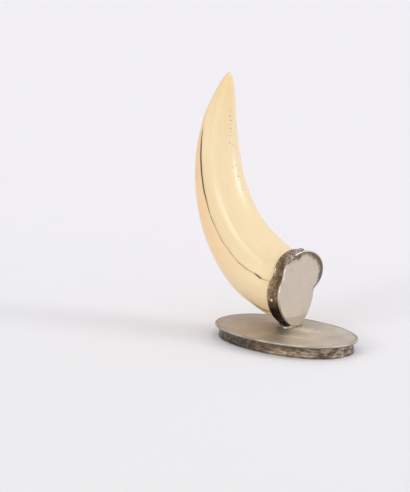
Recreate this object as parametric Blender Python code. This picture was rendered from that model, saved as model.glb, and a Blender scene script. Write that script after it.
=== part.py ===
"""A warthog tusk mounted by its root in a metal collar on a low oval base.

Metres, +Z up.  The origin is the centre of the underside of the base.  X runs
along the long axis of the oval base, towards the side the end plate faces.
"""
import math

import bmesh
import bpy
from mathutils import Vector

# ---------------------------------------------------------------- dimensions
GAP = 0.0003

# oval base: a bottom sheet, an upright band and an overhanging top plate
BASE_LENGTH = 0.1000
BASE_WIDTH = 0.0602
BASE_EXPONENT = 2.12
FLOOR_INSET = 0.0021
FLOOR_THICK = 0.0006
BAND_INSET = 0.0026
BAND_WALL = 0.0012
BAND_TOP = 0.0066
TOP_THICK = 0.0015
BASE_TOP = BAND_TOP + GAP + TOP_THICK
BASE_STEPS = 80

# collar: stands on the base, off its long axis and turned a little
COLLAR_X = 0.0013
COLLAR_Y = 0.0084
COLLAR_TURN = math.radians(-4.0)
PLATE_THICK = 0.0012
PLATE_PROUD = 0.0003
COLLAR_DEPTH = 0.0086
COLLAR_WALL = 0.0010
COLLAR_STEPS = 64

# the two lobes of the root outline, seen from the end plate:
# sideways centre, height of centre above the table, half width, half height,
# and how much the lobe narrows downward
UPPER_LOBE = (0.0080, 0.0419, 0.0179, 0.0132, 0.0)
LOWER_LOBE = (0.0012, 0.0264, 0.0154, 0.0174, 0.2)
LOBE_BLEND = 0.0024
BACK_FLARE = 0.0008
ROOT_CENTRE = (0.0036, 0.0322)

# tusk: centreline bends upward from level to past vertical, and tapers
TUSK_LENGTH = 0.1738
HEADING_ROOT = math.radians(-3.8)
HEADING_TIP = math.radians(106.5)
HEADING_POWER = 1.497
HALF_DEPTH = 0.0227
HALF_WIDTH = 0.0165
ROOT_SLIM = 0.155
SLIM_LENGTH = 0.30
GROOVE_LENGTH = 0.60
FREE_LENGTH = 0.10
LEAN_LENGTH = 0.102
TAPER_SHAPE = 1.837
TAPER_POWER = 0.635
TIP_WIDEN = 0.30
SIDE_DRIFT = 0.0032
SIDE_CURVE = 0.0017
TUSK_RINGS = 46
TUSK_STEPS = 40
TIP_STOP = 0.9965

SEAM_FROM = math.radians(76.0)
SEAM_TO = math.radians(122.0)


# -------------------------------------------------------------------- helpers
def clear_scene():
    for found in list(bpy.data.objects):
        bpy.data.objects.remove(found, do_unlink=True)


def make_material(name, colour, roughness, metallic):
    material = bpy.data.materials.new(name)
    material.use_nodes = True
    shader = material.node_tree.nodes["Principled BSDF"]
    shader.inputs["Base Color"].default_value = (*colour, 1.0)
    shader.inputs["Roughness"].default_value = roughness
    shader.inputs["Metallic"].default_value = metallic
    material.diffuse_color = (*colour, 1.0)
    return material


def add_object(name, points, faces, material, collection, sharp_angle):
    """One closed mesh with outward faces, smooth but for its sharp edges."""
    mesh = bpy.data.meshes.new(name)
    mesh.from_pydata(points, [], faces)
    work = bmesh.new()
    work.from_mesh(mesh)
    bmesh.ops.recalc_face_normals(work, faces=work.faces)
    if work.calc_volume(signed=True) < 0.0:
        bmesh.ops.reverse_faces(work, faces=work.faces)
    work.to_mesh(mesh)
    work.free()
    mesh.shade_smooth()
    mesh.set_sharp_from_angle(angle=math.radians(sharp_angle))
    mesh.materials.append(material)
    made = bpy.data.objects.new(name, mesh)
    collection.objects.link(made)
    return made


def rings_solid(rings, closed_path=False):
    """Points and faces of rings joined in order; open paths get end caps."""
    count = len(rings[0])
    points = [point for ring in rings for point in ring]
    faces = []
    last = len(rings) if closed_path else len(rings) - 1
    for row in range(last):
        here = row * count
        there = ((row + 1) % len(rings)) * count
        for step in range(count):
            after = (step + 1) % count
            faces.append((here + step, here + after, there + after, there + step))
    if not closed_path:
        faces.append(tuple(range(count)))
        faces.append(tuple(range(last * count, (last + 1) * count)))
    return points, faces


def smooth_step(value):
    value = min(1.0, max(0.0, value))
    return value * value * (3.0 - 2.0 * value)


def mix(first, second, share):
    return first + (second - first) * share


# ----------------------------------------------------------------------- base
def oval_point(angle, inset):
    """A point of the base outline, moved inward along its normal."""
    half_long = BASE_LENGTH / 2.0
    half_short = BASE_WIDTH / 2.0
    power = 2.0 / BASE_EXPONENT
    cosine = math.cos(angle)
    sine = math.sin(angle)
    x = half_long * math.copysign(abs(cosine) ** power, cosine)
    y = half_short * math.copysign(abs(sine) ** power, sine)
    slope = Vector((
        math.copysign(abs(x / half_long) ** (BASE_EXPONENT - 1.0), x) / half_long,
        math.copysign(abs(y / half_short) ** (BASE_EXPONENT - 1.0), y) / half_short,
    )).normalized()
    return x - slope.x * inset, y - slope.y * inset


def oval_ring(inset, height):
    ring = []
    for step in range(BASE_STEPS):
        x, y = oval_point(2.0 * math.pi * (step + 0.5) / BASE_STEPS, inset)
        ring.append((x, y, height))
    return ring


def oval_slab(name, inset, low, high, edge, material, collection):
    """A flat oval sheet whose rim is rounded by three short chamfers."""
    rings = [oval_ring(inset + edge, low)]
    for share in (0.0, 0.33, 0.67, 1.0):
        turn = math.pi * share - math.pi / 2.0
        middle = (low + high) / 2.0
        reach = (high - low) / 2.0
        rings.append(oval_ring(
            inset + edge * (1.0 - 0.85 * math.cos(turn)) - 0.15 * edge,
            middle + reach * 0.98 * math.sin(turn),
        ))
    rings.append(oval_ring(inset + edge, high))
    return add_object(name, *rings_solid(rings), material, collection, 40.0)


def oval_band(name, material, collection):
    low = FLOOR_THICK + GAP
    outer = BAND_INSET
    inner = BAND_INSET + BAND_WALL
    rings = [
        oval_ring(outer, low),
        oval_ring(outer, BAND_TOP),
        oval_ring(inner, BAND_TOP),
        oval_ring(inner, low),
    ]
    return add_object(name, *rings_solid(rings, closed_path=True), material, collection, 40.0)


# --------------------------------------------------------------------- collar
def lobe_level(side, height, lobe, grow):
    centre_side, centre_height, half_width, half_height, narrowing = lobe
    tall = half_height + grow
    rise = (height - centre_height) / tall
    wide = half_width * (1.0 + narrowing * max(-1.0, min(1.0, rise))) + grow
    return (math.hypot((side - centre_side) / wide, rise) - 1.0) * min(half_width + grow, tall)


def gourd_radius(angle, centre, upper, lower, grow, blend):
    """How far the joined outline of two lobes lies from a centre, by angle."""
    near = 0.0
    far = 0.06
    for _ in range(40):
        middle = (near + far) / 2.0
        side = centre[0] + middle * math.cos(angle)
        height = centre[1] + middle * math.sin(angle)
        first = lobe_level(side, height, upper, grow)
        second = lobe_level(side, height, lower, grow)
        share = max(blend - abs(first - second), 0.0) / blend
        level = min(first, second) - share * share * blend * 0.25
        if level > 0.0:
            far = middle
        else:
            near = middle
    return (near + far) / 2.0


def flared(lobe, flare):
    return (lobe[0], lobe[1], lobe[2] + flare, lobe[3], lobe[4])


def root_outline(grow, steps, flare=0.0):
    """The gourd-shaped outline of the tusk's root as side and height pairs."""
    upper = flared(UPPER_LOBE, -flare)
    lower = flared(LOWER_LOBE, flare)
    outline = []
    for step in range(steps):
        angle = 2.0 * math.pi * step / steps
        reach = gourd_radius(angle, ROOT_CENTRE, upper, lower, grow, LOBE_BLEND)
        outline.append((
            ROOT_CENTRE[0] + reach * math.cos(angle),
            ROOT_CENTRE[1] + reach * math.sin(angle),
        ))
    return outline


def collar_ring(depth, grow, flare=0.0):
    return [(-depth, side, height) for side, height in root_outline(grow, COLLAR_STEPS, flare)]


def collar_start():
    return PLATE_THICK + GAP


def collar_end():
    return collar_start() + COLLAR_DEPTH


def make_end_plate(material, collection):
    edge = 0.0004
    rings = [
        collar_ring(PLATE_THICK, 0.0),
        collar_ring(PLATE_THICK, PLATE_PROUD),
        collar_ring(edge, PLATE_PROUD),
        collar_ring(0.0, PLATE_PROUD - edge),
    ]
    return add_object("end_plate", *rings_solid(rings), material, collection, 40.0)


def make_collar_band(material, collection):
    """The upright strip round the root, a little fuller below at its back."""
    front = collar_start()
    back = collar_end()
    outside = []
    inside = []
    for share in (0.0, 0.25, 0.5, 0.75, 1.0):
        depth = mix(front, back, share)
        hollow = -0.0003 * math.sin(math.pi * share)
        outside.append(collar_ring(depth, -PLATE_PROUD + hollow, BACK_FLARE * share))
        inside.append(collar_ring(depth, -PLATE_PROUD - COLLAR_WALL + hollow, BACK_FLARE * share))
    rings = outside + inside[::-1]
    return add_object("collar_band", *rings_solid(rings, closed_path=True),
                      material, collection, 40.0)


def blob_rings(path, radii, flat):
    """Rings of a lumpy bead along a path, squashed towards its support."""
    steps = 12
    rings = []
    for index, (point, outward) in enumerate(path):
        before = path[max(index - 1, 0)][0]
        after = path[min(index + 1, len(path) - 1)][0]
        along = (after - before).normalized()
        up = (outward - along * outward.dot(along)).normalized()
        side = along.cross(up)
        ring = []
        for step in range(steps):
            angle = 2.0 * math.pi * step / steps
            rise = math.sin(angle)
            if rise < 0.0:
                rise *= flat
            spot = point + side * (radii[index] * math.cos(angle) * 1.25)
            spot += up * (radii[index] * rise)
            ring.append(tuple(spot))
        rings.append(ring)
    return rings


def outline_at(angle, grow):
    reach = gourd_radius(angle, ROOT_CENTRE, UPPER_LOBE, LOWER_LOBE, grow, LOBE_BLEND)
    return Vector((
        0.0,
        ROOT_CENTRE[0] + reach * math.cos(angle),
        ROOT_CENTRE[1] + reach * math.sin(angle),
    ))


def make_seam_solder(material, collection):
    """A lumpy run of solder over the top of the collar, wandering in depth."""
    count = 23
    path = []
    radii = []
    for step in range(count):
        share = step / (count - 1)
        angle = mix(SEAM_FROM, SEAM_TO, share)
        here = outline_at(angle, 0.0)
        ahead = outline_at(angle + 0.01, 0.0)
        run = (ahead - here).normalized()
        outward = Vector((0.0, run.z, -run.y))
        radius = 0.00085 + 0.00030 * math.sin(share * 21.0) + 0.00014 * math.sin(share * 43.0 + 1.0)
        radius *= 0.35 + 0.65 * min(1.0, 6.0 * share, 6.0 * (1.0 - share))
        depth = 0.0030 + 0.0009 * math.sin(share * 6.0) + 0.0003 * math.sin(share * 15.0)
        spot = here + outward * (GAP + 0.0002) + Vector((-depth, 0.0, 0.0))
        path.append((spot, outward))
        radii.append(radius)
    rings = blob_rings(path, radii, 0.12)
    return add_object("seam_solder", *rings_solid(rings), material, collection, 50.0)


def make_collar_pin(material, collection):
    """A small domed pin head on the near flank of the collar's lower lobe."""
    angle = math.radians(197.5)
    here = outline_at(angle, 0.0)
    ahead = outline_at(angle + 0.01, 0.0)
    run = (ahead - here).normalized()
    outward = Vector((0.0, run.z, -run.y))
    middle = here + outward * (GAP + 0.0001) + Vector((-0.0068, 0.0, 0.0))
    head = (
        (0.00115, 0.0),
        (0.00120, 0.00030),
        (0.00100, 0.00062),
        (0.00060, 0.00085),
        (0.00020, 0.00093),
    )
    rings = []
    for radius, rise in head:
        ring = []
        for step in range(16):
            turn = 2.0 * math.pi * step / 16
            spot = middle + outward * rise + run * (radius * math.cos(turn))
            spot += Vector((radius * math.sin(turn), 0.0, 0.0))
            ring.append(tuple(spot))
        rings.append(ring)
    return add_object("collar_pin", *rings_solid(rings), material, collection, 50.0)


def make_foot_solder(name, hand, material, collection):
    """A low fillet beside the collar's foot, its top following the collar's curve."""
    across = 10
    floor = BASE_TOP + GAP
    back = -collar_end()
    depths = [0.0017, 0.0012, 0.0007]
    depths += [mix(0.0003, back - 0.0003, step / 8) for step in range(9)]
    depths += [back - 0.0007, back - 0.0012]
    tops = []
    for depth in depths:
        share = (depths[0] - depth) / (depths[0] - depths[-1])
        reach = 0.0092 - 0.0009 * math.cos(share * 9.0) - 0.0016 * abs(2.0 * share - 1.0) ** 3
        outside = depth > 0.0005 or depth < back - 0.0005
        line = []
        for step in range(across + 1):
            wide = step / across
            side = LOWER_LOBE[0] + hand * mix(0.0046, reach, wide)
            mound = math.sin(math.pi * wide)
            if outside:
                off = max(depth, back - depth) / 0.0018
                top = floor + 0.0010 * mound * max(0.03, 1.0 - off)
            else:
                limit = under_collar(side) - GAP - 0.0001
                top = min(floor + 0.0019 * math.sqrt(max(mound, 0.0)), limit)
            line.append((depth, side, max(top, floor + 0.00008)))
        tops.append(line)
    points = [point for line in tops for point in line]
    points += [(x, y, floor) for line in tops for x, y, _ in line]
    faces = []
    width = across + 1
    under = width * len(tops)
    last = len(tops) - 1
    for row in range(last):
        for step in range(across):
            first = row * width + step
            face = (first, first + 1, first + width + 1, first + width)
            faces.append(face)
            faces.append(tuple(index + under for index in reversed(face)))
    border = list(range(width))
    border += [row * width + across for row in range(1, last + 1)]
    border += [last * width + step for step in range(across - 1, -1, -1)]
    border += [row * width for row in range(last - 1, 0, -1)]
    for index, first in enumerate(border):
        second = border[(index + 1) % len(border)]
        faces.append((first, first + under, second + under, second))
    return add_object(name, points, faces, material, collection, 60.0)


def under_collar(side):
    """Height of the lower lobe's underside at a sideways position."""
    lobe = flared(LOWER_LOBE, BACK_FLARE)
    low = lobe[1] - lobe[3]
    high = lobe[1]
    for _ in range(30):
        middle = (low + high) / 2.0
        if lobe_level(side, middle, lobe, PLATE_PROUD) > 0.0:
            low = middle
        else:
            high = middle
    return low


# ----------------------------------------------------------------------- tusk
def heading(share):
    bent = 1.0 - (1.0 - share) ** HEADING_POWER
    return mix(HEADING_ROOT, HEADING_TIP, bent)


def centreline(samples=600):
    """Share of length, distance behind the plate and height, along the tusk."""
    line = [(0.0, 0.0, ROOT_CENTRE[1])]
    step = 1.0 / samples
    back = 0.0
    height = ROOT_CENTRE[1]
    for index in range(samples):
        angle = heading((index + 0.5) * step)
        back += math.cos(angle) * TUSK_LENGTH * step
        height += math.sin(angle) * TUSK_LENGTH * step
        line.append(((index + 1) * step, back, height))
    return line


def line_at(line, share):
    place = share * (len(line) - 1)
    index = min(int(place), len(line) - 2)
    part = place - index
    _, back, height = line[index]
    _, next_back, next_height = line[index + 1]
    return mix(back, next_back, part), mix(height, next_height, part)


def share_at_depth(line, depth):
    return next(share for share, back, _ in line if back >= depth)


def free_section(share):
    """Side and rise of the tusk's cross-section once clear of the collar."""
    scale = (1.0 - share ** TAPER_SHAPE) ** TAPER_POWER
    deep = HALF_DEPTH * scale * (1.0 - ROOT_SLIM * (1.0 - smooth_step(share / SLIM_LENGTH)))
    wide = HALF_WIDTH * scale * (1.0 + TIP_WIDEN * share)
    change = smooth_step(share / GROOVE_LENGTH)
    upper = (
        mix(0.24, 0.01, change) * wide,
        mix(0.42, 0.22, change) * deep,
        mix(1.03, 0.96, change) * wide,
        mix(0.58, 0.78, change) * deep,
        0.0,
    )
    lower = (
        mix(-0.16, -0.02, change) * wide,
        mix(-0.20, -0.33, change) * deep,
        mix(0.88, 0.93, change) * wide,
        mix(0.80, 0.67, change) * deep,
        mix(0.10, 0.0, change),
    )
    blend = mix(0.11, 0.13, change) * deep
    section = []
    for step in range(TUSK_STEPS):
        angle = 2.0 * math.pi * step / TUSK_STEPS
        reach = gourd_radius(angle, (0.0, 0.0), upper, lower, 0.0, blend)
        section.append((reach * math.cos(angle), reach * math.sin(angle)))
    return section


def tusk_rings():
    """The root fills the collar, then the sections turn to follow the bend."""
    line = centreline()
    start = share_at_depth(line, collar_start() + GAP)
    clear = share_at_depth(line, collar_end() + 0.0004)
    inset = -PLATE_PROUD - COLLAR_WALL - GAP - 0.0004
    rings = []
    for row in range(TUSK_RINGS):
        along = row / (TUSK_RINGS - 1)
        share = mix(start, TIP_STOP, 1.0 - (1.0 - along) ** 1.25)
        back, height = line_at(line, share)
        freed = smooth_step((share - clear) / FREE_LENGTH)
        lean = heading(share) * smooth_step((share - clear) / LEAN_LENGTH)
        drift = SIDE_DRIFT * share + SIDE_CURVE * share * share
        middle = mix(ROOT_CENTRE[1], height, freed)
        inside = min(1.0, max(0.0, (back - collar_start()) / COLLAR_DEPTH))
        root = root_outline(inset, TUSK_STEPS, BACK_FLARE * inside)
        ring = []
        for (side, tall), (free_side, free_rise) in zip(root, free_section(share)):
            rise = mix(tall - ROOT_CENTRE[1], free_rise, freed)
            sideways = mix(side, ROOT_CENTRE[0] + free_side, freed) + drift * freed
            ring.append((
                -back + rise * math.sin(lean),
                sideways,
                middle + rise * math.cos(lean),
            ))
        rings.append(ring)
    return rings


def make_tusk(material, collection):
    return add_object("tusk", *rings_solid(tusk_rings()), material, collection, 45.0)


# ---------------------------------------------------------------------- build
def build():
    clear_scene()
    collection = bpy.data.collections.new("warthog_tusk")
    bpy.context.scene.collection.children.link(collection)

    ivory = make_material("ivory", (0.86, 0.70, 0.43), 0.30, 0.0)
    plate_metal = make_material("pale_plate_metal", (0.50, 0.46, 0.39), 0.42, 0.9)
    aged_metal = make_material("aged_band_metal", (0.23, 0.20, 0.16), 0.38, 0.9)
    top_metal = make_material("base_top_metal", (0.36, 0.34, 0.29), 0.36, 0.9)
    skirt_metal = make_material("worn_skirt_metal", (0.22, 0.17, 0.12), 0.45, 0.9)
    floor_metal = make_material("base_floor_metal", (0.30, 0.27, 0.22), 0.45, 0.9)
    solder = make_material("solder", (0.46, 0.44, 0.40), 0.30, 0.9)
    dark_solder = make_material("aged_solder", (0.28, 0.25, 0.21), 0.40, 0.9)
    pin_metal = make_material("pin_metal", (0.38, 0.36, 0.33), 0.28, 0.9)

    oval_slab("base_floor", FLOOR_INSET, 0.0, FLOOR_THICK, 0.0002, floor_metal, collection)
    oval_band("base_band", skirt_metal, collection)
    oval_slab("base_plate", 0.0, BAND_TOP + GAP, BASE_TOP, 0.0007, top_metal, collection)

    mounted = [
        make_end_plate(plate_metal, collection),
        make_collar_band(aged_metal, collection),
        make_seam_solder(dark_solder, collection),
        make_collar_pin(pin_metal, collection),
        make_foot_solder("foot_solder_near", -1.0, solder, collection),
        make_foot_solder("foot_solder_far", 1.0, solder, collection),
        make_tusk(ivory, collection),
    ]
    for made in mounted:
        made.location = (COLLAR_X, COLLAR_Y, 0.0)
        made.rotation_euler = (0.0, 0.0, COLLAR_TURN)


build()
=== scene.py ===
"""Looks of the mounted warthog tusk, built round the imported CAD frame."""
import math

import bpy
import numpy as np
from mathutils import Matrix, Vector


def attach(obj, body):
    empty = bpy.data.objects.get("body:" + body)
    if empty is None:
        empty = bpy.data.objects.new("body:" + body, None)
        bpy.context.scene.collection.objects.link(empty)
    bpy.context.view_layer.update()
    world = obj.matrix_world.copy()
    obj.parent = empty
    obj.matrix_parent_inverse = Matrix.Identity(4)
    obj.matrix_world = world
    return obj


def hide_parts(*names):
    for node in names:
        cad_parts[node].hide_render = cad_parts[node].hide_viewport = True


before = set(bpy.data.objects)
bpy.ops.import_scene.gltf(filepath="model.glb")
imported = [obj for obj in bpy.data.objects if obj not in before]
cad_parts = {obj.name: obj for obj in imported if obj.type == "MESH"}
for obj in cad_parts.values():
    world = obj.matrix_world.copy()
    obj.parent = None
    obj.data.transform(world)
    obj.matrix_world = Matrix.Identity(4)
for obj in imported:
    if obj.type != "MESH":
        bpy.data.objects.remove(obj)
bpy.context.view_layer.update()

MM = 0.001

# ------------------------------------------------------------ shape constants
# These repeat the CAD's driving dimensions, in millimetres.
BASE_HALF_LONG = 50.0
BASE_HALF_SHORT = 30.1
BASE_EXPONENT = 2.12
BASE_TOP = 8.4
BAND_INSET = 2.6
BAND_LOW = 0.62
BAND_HIGH = 6.92
COLLAR_PLACE = (1.3, 8.4)
COLLAR_TURN = math.radians(-4.0)
UPPER_LOBE = (8.0, 41.9, 17.9, 13.2, 0.0)
LOWER_LOBE = (1.2, 26.4, 15.4, 17.4, 0.2)
LOBE_BLEND = 2.4
BACK_FLARE = 0.8
ROOT_CENTRE = (3.6, 32.2)
ROOT_INSET = 2.0
PLATE_PROUD = 0.3
COLLAR_FRONT = 1.5
COLLAR_DEPTH = 8.6
TUSK_LENGTH = 173.8
HEADING_ROOT = math.radians(-3.8)
HEADING_TIP = math.radians(106.5)
HEADING_POWER = 1.497
HALF_DEPTH = 22.7
HALF_WIDTH = 16.5
ROOT_SLIM = 0.155
TAPER_SHAPE = 1.837
TAPER_POWER = 0.635
TIP_WIDEN = 0.30
SIDE_DRIFT = 3.2
SIDE_CURVE = 1.7
TIP_STOP = 0.9965

# how finely the pieces are made
TUSK_ROWS = 400
TUSK_COLUMNS = 236
SPINE_STEPS = 6000
GOURD_COLUMNS = 420
OVAL_COLUMNS = 480
HALVINGS = 34


# -------------------------------------------------------------- small helpers
def smooth_step(value):
    value = np.clip(value, 0.0, 1.0)
    return value * value * (3.0 - 2.0 * value)


def mix(first, second, share):
    return first + (second - first) * share


def bell(distance, width):
    return np.exp(-(distance / width) ** 2)


def stacked(x, y, z):
    """Points from coordinates whose shapes fit together."""
    return np.stack(np.broadcast_arrays(x, y, z), -1)


def turned(angle, centre):
    """The shortest turn to each angle from a centre given in degrees."""
    return np.angle(np.exp(1j * (angle - math.radians(centre))))


def quarter_round(gap, radius):
    """Drop of a rounded edge, from 1 at the edge to 0 at its radius."""
    return 1.0 - np.sqrt(np.clip(1.0 - (1.0 - np.clip(gap / radius, 0.0, 1.0)) ** 2, 0.0, 1.0))


def full_turn(count, shift=0.0):
    return (np.arange(count) + shift) / count * 2.0 * math.pi


def soft_noise(points, size, seed):
    """Smooth value noise from -1 to 1 with features of about the given size."""
    table = np.random.RandomState(seed).uniform(-1.0, 1.0, 4096)
    scaled = np.asarray(points, float) / size + 517.0
    cell = np.floor(scaled).astype(np.int64)
    part = scaled - cell
    part = part * part * (3.0 - 2.0 * part)
    total = np.zeros(scaled.shape[:-1])
    for corner in range(8):
        step = np.array([corner & 1, (corner >> 1) & 1, corner >> 2])
        spot = cell + step
        index = (spot[..., 0] * 73856093 ^ spot[..., 1] * 19349663 ^ spot[..., 2] * 83492791) & 4095
        weight = np.where(step == 1, part, 1.0 - part).prod(-1)
        total += weight * table[index]
    return total


def grid_normals(points):
    """Unit normals of a grid whose columns wrap round."""
    along = np.gradient(points, axis=0)
    around = (np.roll(points, -1, 1) - np.roll(points, 1, 1)) / 2.0
    normal = np.cross(along, around)
    normal /= np.linalg.norm(normal, axis=-1, keepdims=True) + 1e-12
    outward = points - points.mean(axis=(0, 1))
    if np.sum(outward * normal) < 0.0:
        normal = -normal
    return normal


def grid_object(name, points, masks=None, ends="both"):
    """A mesh from a grid of rings in millimetres, with a mask value at each point.

    A face closes "both" end rings or only the "first", or else the last ring
    runs on into the first as a "loop".
    """
    rows, columns = points.shape[:2]
    index = np.arange(rows * columns).reshape(rows, columns)
    after = np.roll(index, -1, 1)
    if ends == "loop":
        low, low_after = index, after
        high, high_after = np.roll(index, -1, 0), np.roll(after, -1, 0)
    else:
        low, low_after = index[:-1], after[:-1]
        high, high_after = index[1:], after[1:]
    faces = np.stack([low, low_after, high_after, high], -1).reshape(-1, 4).tolist()
    if ends != "loop":
        faces.append(index[0][::-1].tolist())
    if ends == "both":
        faces.append(index[-1].tolist())
    mesh = bpy.data.meshes.new(name)
    mesh.from_pydata((points.reshape(-1, 3) * MM).tolist(), [], faces)
    for label, values in (masks or {}).items():
        values = np.asarray(values, np.float32)
        if values.ndim == 3:
            made = mesh.attributes.new(label, "FLOAT_VECTOR", "POINT")
            made.data.foreach_set("vector", values.reshape(-1))
        else:
            made = mesh.attributes.new(label, "FLOAT", "POINT")
            made.data.foreach_set("value", np.broadcast_to(values, (rows, columns)).reshape(-1))
    mesh.shade_smooth()
    piece = bpy.data.objects.new(name, mesh)
    bpy.context.scene.collection.objects.link(piece)
    return piece


def with_rows(mask, count, level=0.0):
    """A mask continued over further rings at one level."""
    return np.concatenate([mask, np.full((count, mask.shape[1]), level)])


def outward_check(piece):
    """Turn a closed piece's faces outward if they all face inward."""
    mesh = piece.data
    mesh.calc_loop_triangles()
    spots = np.zeros(len(mesh.vertices) * 3)
    mesh.vertices.foreach_get("co", spots)
    spots = spots.reshape(-1, 3)
    corners = np.zeros(len(mesh.loop_triangles) * 3, np.int32)
    mesh.loop_triangles.foreach_get("vertices", corners)
    a, b, c = (spots[corner] for corner in corners.reshape(-1, 3).T)
    if np.einsum("ij,ij->", a, np.cross(b, c)) < 0.0:
        mesh.flip_normals()


def settle(piece, slot, *nodes):
    outward_check(piece)
    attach(piece, "root")
    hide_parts(*nodes)
    return piece


def from_collar(points):
    """Collar coordinates (forward, sideways, up) to the row frame."""
    cosine, sine = math.cos(COLLAR_TURN), math.sin(COLLAR_TURN)
    x, y, z = points[..., 0], points[..., 1], points[..., 2]
    return stacked(
        COLLAR_PLACE[0] + x * cosine - y * sine,
        COLLAR_PLACE[1] + x * sine + y * cosine,
        z,
    )


# ------------------------------------------------------------- gourd outlines
def lobe_level(side, height, lobe, grow):
    """How far outside an oval lobe a point lies, negative inside it."""
    centre_side, centre_height, half_width, half_height, narrowing = lobe
    tall = half_height + grow
    rise = (height - centre_height) / tall
    wide = half_width * (1.0 + narrowing * np.clip(rise, -1.0, 1.0)) + grow
    return (np.hypot((side - centre_side) / wide, rise) - 1.0) * np.minimum(half_width + grow, tall)


def gourd_reach(angle, centre, upper, lower, grow, blend):
    """Distance from the centre to the outline of two softly joined lobes."""
    near = np.zeros(np.broadcast(angle, upper[2], grow).shape)
    far = near + 60.0
    for _ in range(HALVINGS):
        middle = (near + far) / 2.0
        side = centre[0] + middle * np.cos(angle)
        height = centre[1] + middle * np.sin(angle)
        first = lobe_level(side, height, upper, grow)
        second = lobe_level(side, height, lower, grow)
        share = np.maximum(blend - np.abs(first - second), 0.0) / blend
        outside = np.minimum(first, second) - share * share * blend * 0.25 > 0.0
        far = np.where(outside, middle, far)
        near = np.where(outside, near, middle)
    return (near + far) / 2.0


def root_outline(angle, grow, flare=0.0):
    """Side and height of the gourd outline at the given angles."""
    upper = (*UPPER_LOBE[:2], UPPER_LOBE[2] - flare, *UPPER_LOBE[3:])
    lower = (*LOWER_LOBE[:2], LOWER_LOBE[2] + flare, *LOWER_LOBE[3:])
    reach = gourd_reach(angle, ROOT_CENTRE, upper, lower, grow, LOBE_BLEND)
    return ROOT_CENTRE[0] + reach * np.cos(angle), ROOT_CENTRE[1] + reach * np.sin(angle)


# ----------------------------------------------------------------- the tusk
# The flank split: its place round the tusk in degrees, and how bold it is.
CRACK_SHARE = (0.00, 0.063, 0.106, 0.134, 0.215, 0.312, 0.424, 0.503, 0.599, 0.706, 0.76, 1.00)
CRACK_ANGLE = (159.0, 159.5, 160.0, 162.6, 168.6, 174.0, 181.2, 186.5, 191.6, 200.3, 205.0, 224.0)
CRACK_MIDDLE = math.radians(185.0)
BOLD_SHARE = (0.05, 0.108, 0.118, 0.138, 0.16, 0.30, 0.42, 0.50, 0.56, 0.72, 0.775, 0.80)
BOLD_LEVEL = (0.28, 0.34, 0.85, 0.74, 0.38, 0.38, 0.42, 0.60, 1.0, 1.0, 0.55, 0.0)
CRACK_DEPTH = 0.34
SHOULDER_DEPTH = 0.20
# The short split under the root.
SPLIT_ANGLE = math.radians(231.0)
SPLIT_SHARE = 0.108
SPLIT_DEPTH = 0.22
# Each pit's share of the length, angle in degrees and radius.
PIT_PLACES = (
    (0.842, 99.7, 0.42), (0.826, 95.0, 0.46), (0.795, 95.5, 0.42), (0.781, 91.8, 0.36),
    (0.766, 100.0, 0.36), (0.738, 102.3, 0.44), (0.731, 92.7, 0.36), (0.724, 86.3, 0.44),
    (0.716, 71.5, 0.40), (0.639, 91.3, 0.34), (0.634, 100.8, 0.34), (0.592, 88.4, 0.52),
    (0.546, 85.4, 0.36), (0.528, 89.0, 0.36), (0.531, 81.9, 0.34), (0.862, 97.0, 0.28),
    (0.700, 97.0, 0.26), (0.676, 88.0, 0.24), (0.573, 94.0, 0.26), (0.810, 101.0, 0.24),
)
PIT_ANGLE = math.radians(93.0)
PIT_DEPTH = 0.30
# How strongly the outer curve beyond the split is yellowed along the length.
YELLOW_SHARE = (0.0, 0.22, 0.42, 1.0)
YELLOW_LEVEL = (0.25, 0.35, 1.0, 1.0)


def clustered_turns(count, crack_turn, pit_turn):
    """Column angles round the tusk, closer together at the crack and the pits."""
    fine = np.linspace(-math.pi, math.pi, 4001)
    density = 1.0 + 7.0 * bell(fine, 0.07) + 2.4 * bell(fine - (pit_turn - crack_turn), 0.22)
    total = np.concatenate([[0.0], np.cumsum((density[1:] + density[:-1]) / 2.0)])
    return np.interp(np.arange(count) / count, total / total[-1], fine)


def heading(share):
    return mix(HEADING_ROOT, HEADING_TIP, 1.0 - (1.0 - share) ** HEADING_POWER)


def tusk_spine():
    """Shares of the length, and how far back and how high the axis is at each."""
    share = np.linspace(0.0, 1.0, SPINE_STEPS + 1)
    slope = heading((share[1:] + share[:-1]) / 2.0)
    step = TUSK_LENGTH / SPINE_STEPS
    back = np.concatenate([[0.0], np.cumsum(np.cos(slope) * step)])
    height = ROOT_CENTRE[1] + np.concatenate([[0.0], np.cumsum(np.sin(slope) * step)])
    return share, back, height


def crack_line(share):
    """The flank split's angle on each row, with the bends of its table eased."""
    angle = np.radians(np.interp(share, CRACK_SHARE, CRACK_ANGLE))[:, 0]
    for _ in range(3):
        angle = np.convolve(np.pad(angle, 12, mode="edge"), np.ones(25) / 25.0, mode="valid")
    return angle[:, None]


def tusk_reach(share, angle):
    """Radius of the free tusk, whose two-lobed section evens out toward the tip."""
    scale = (1.0 - share ** TAPER_SHAPE) ** TAPER_POWER
    deep = HALF_DEPTH * scale * (1.0 - ROOT_SLIM * (1.0 - smooth_step(share / 0.30)))
    wide = HALF_WIDTH * scale * (1.0 + TIP_WIDEN * share)
    change = smooth_step(share / 0.60)
    upper = (
        mix(0.24, 0.01, change) * wide,
        mix(0.42, 0.22, change) * deep,
        mix(1.03, 0.96, change) * wide,
        mix(0.58, 0.78, change) * deep,
        np.zeros_like(share),
    )
    lower = (
        mix(-0.16, -0.02, change) * wide,
        mix(-0.20, -0.33, change) * deep,
        mix(0.88, 0.93, change) * wide,
        mix(0.80, 0.67, change) * deep,
        mix(0.10, 0.0, change),
    )
    return gourd_reach(angle, (0.0, 0.0), upper, lower, 0.0, mix(0.11, 0.13, change) * deep)


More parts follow.
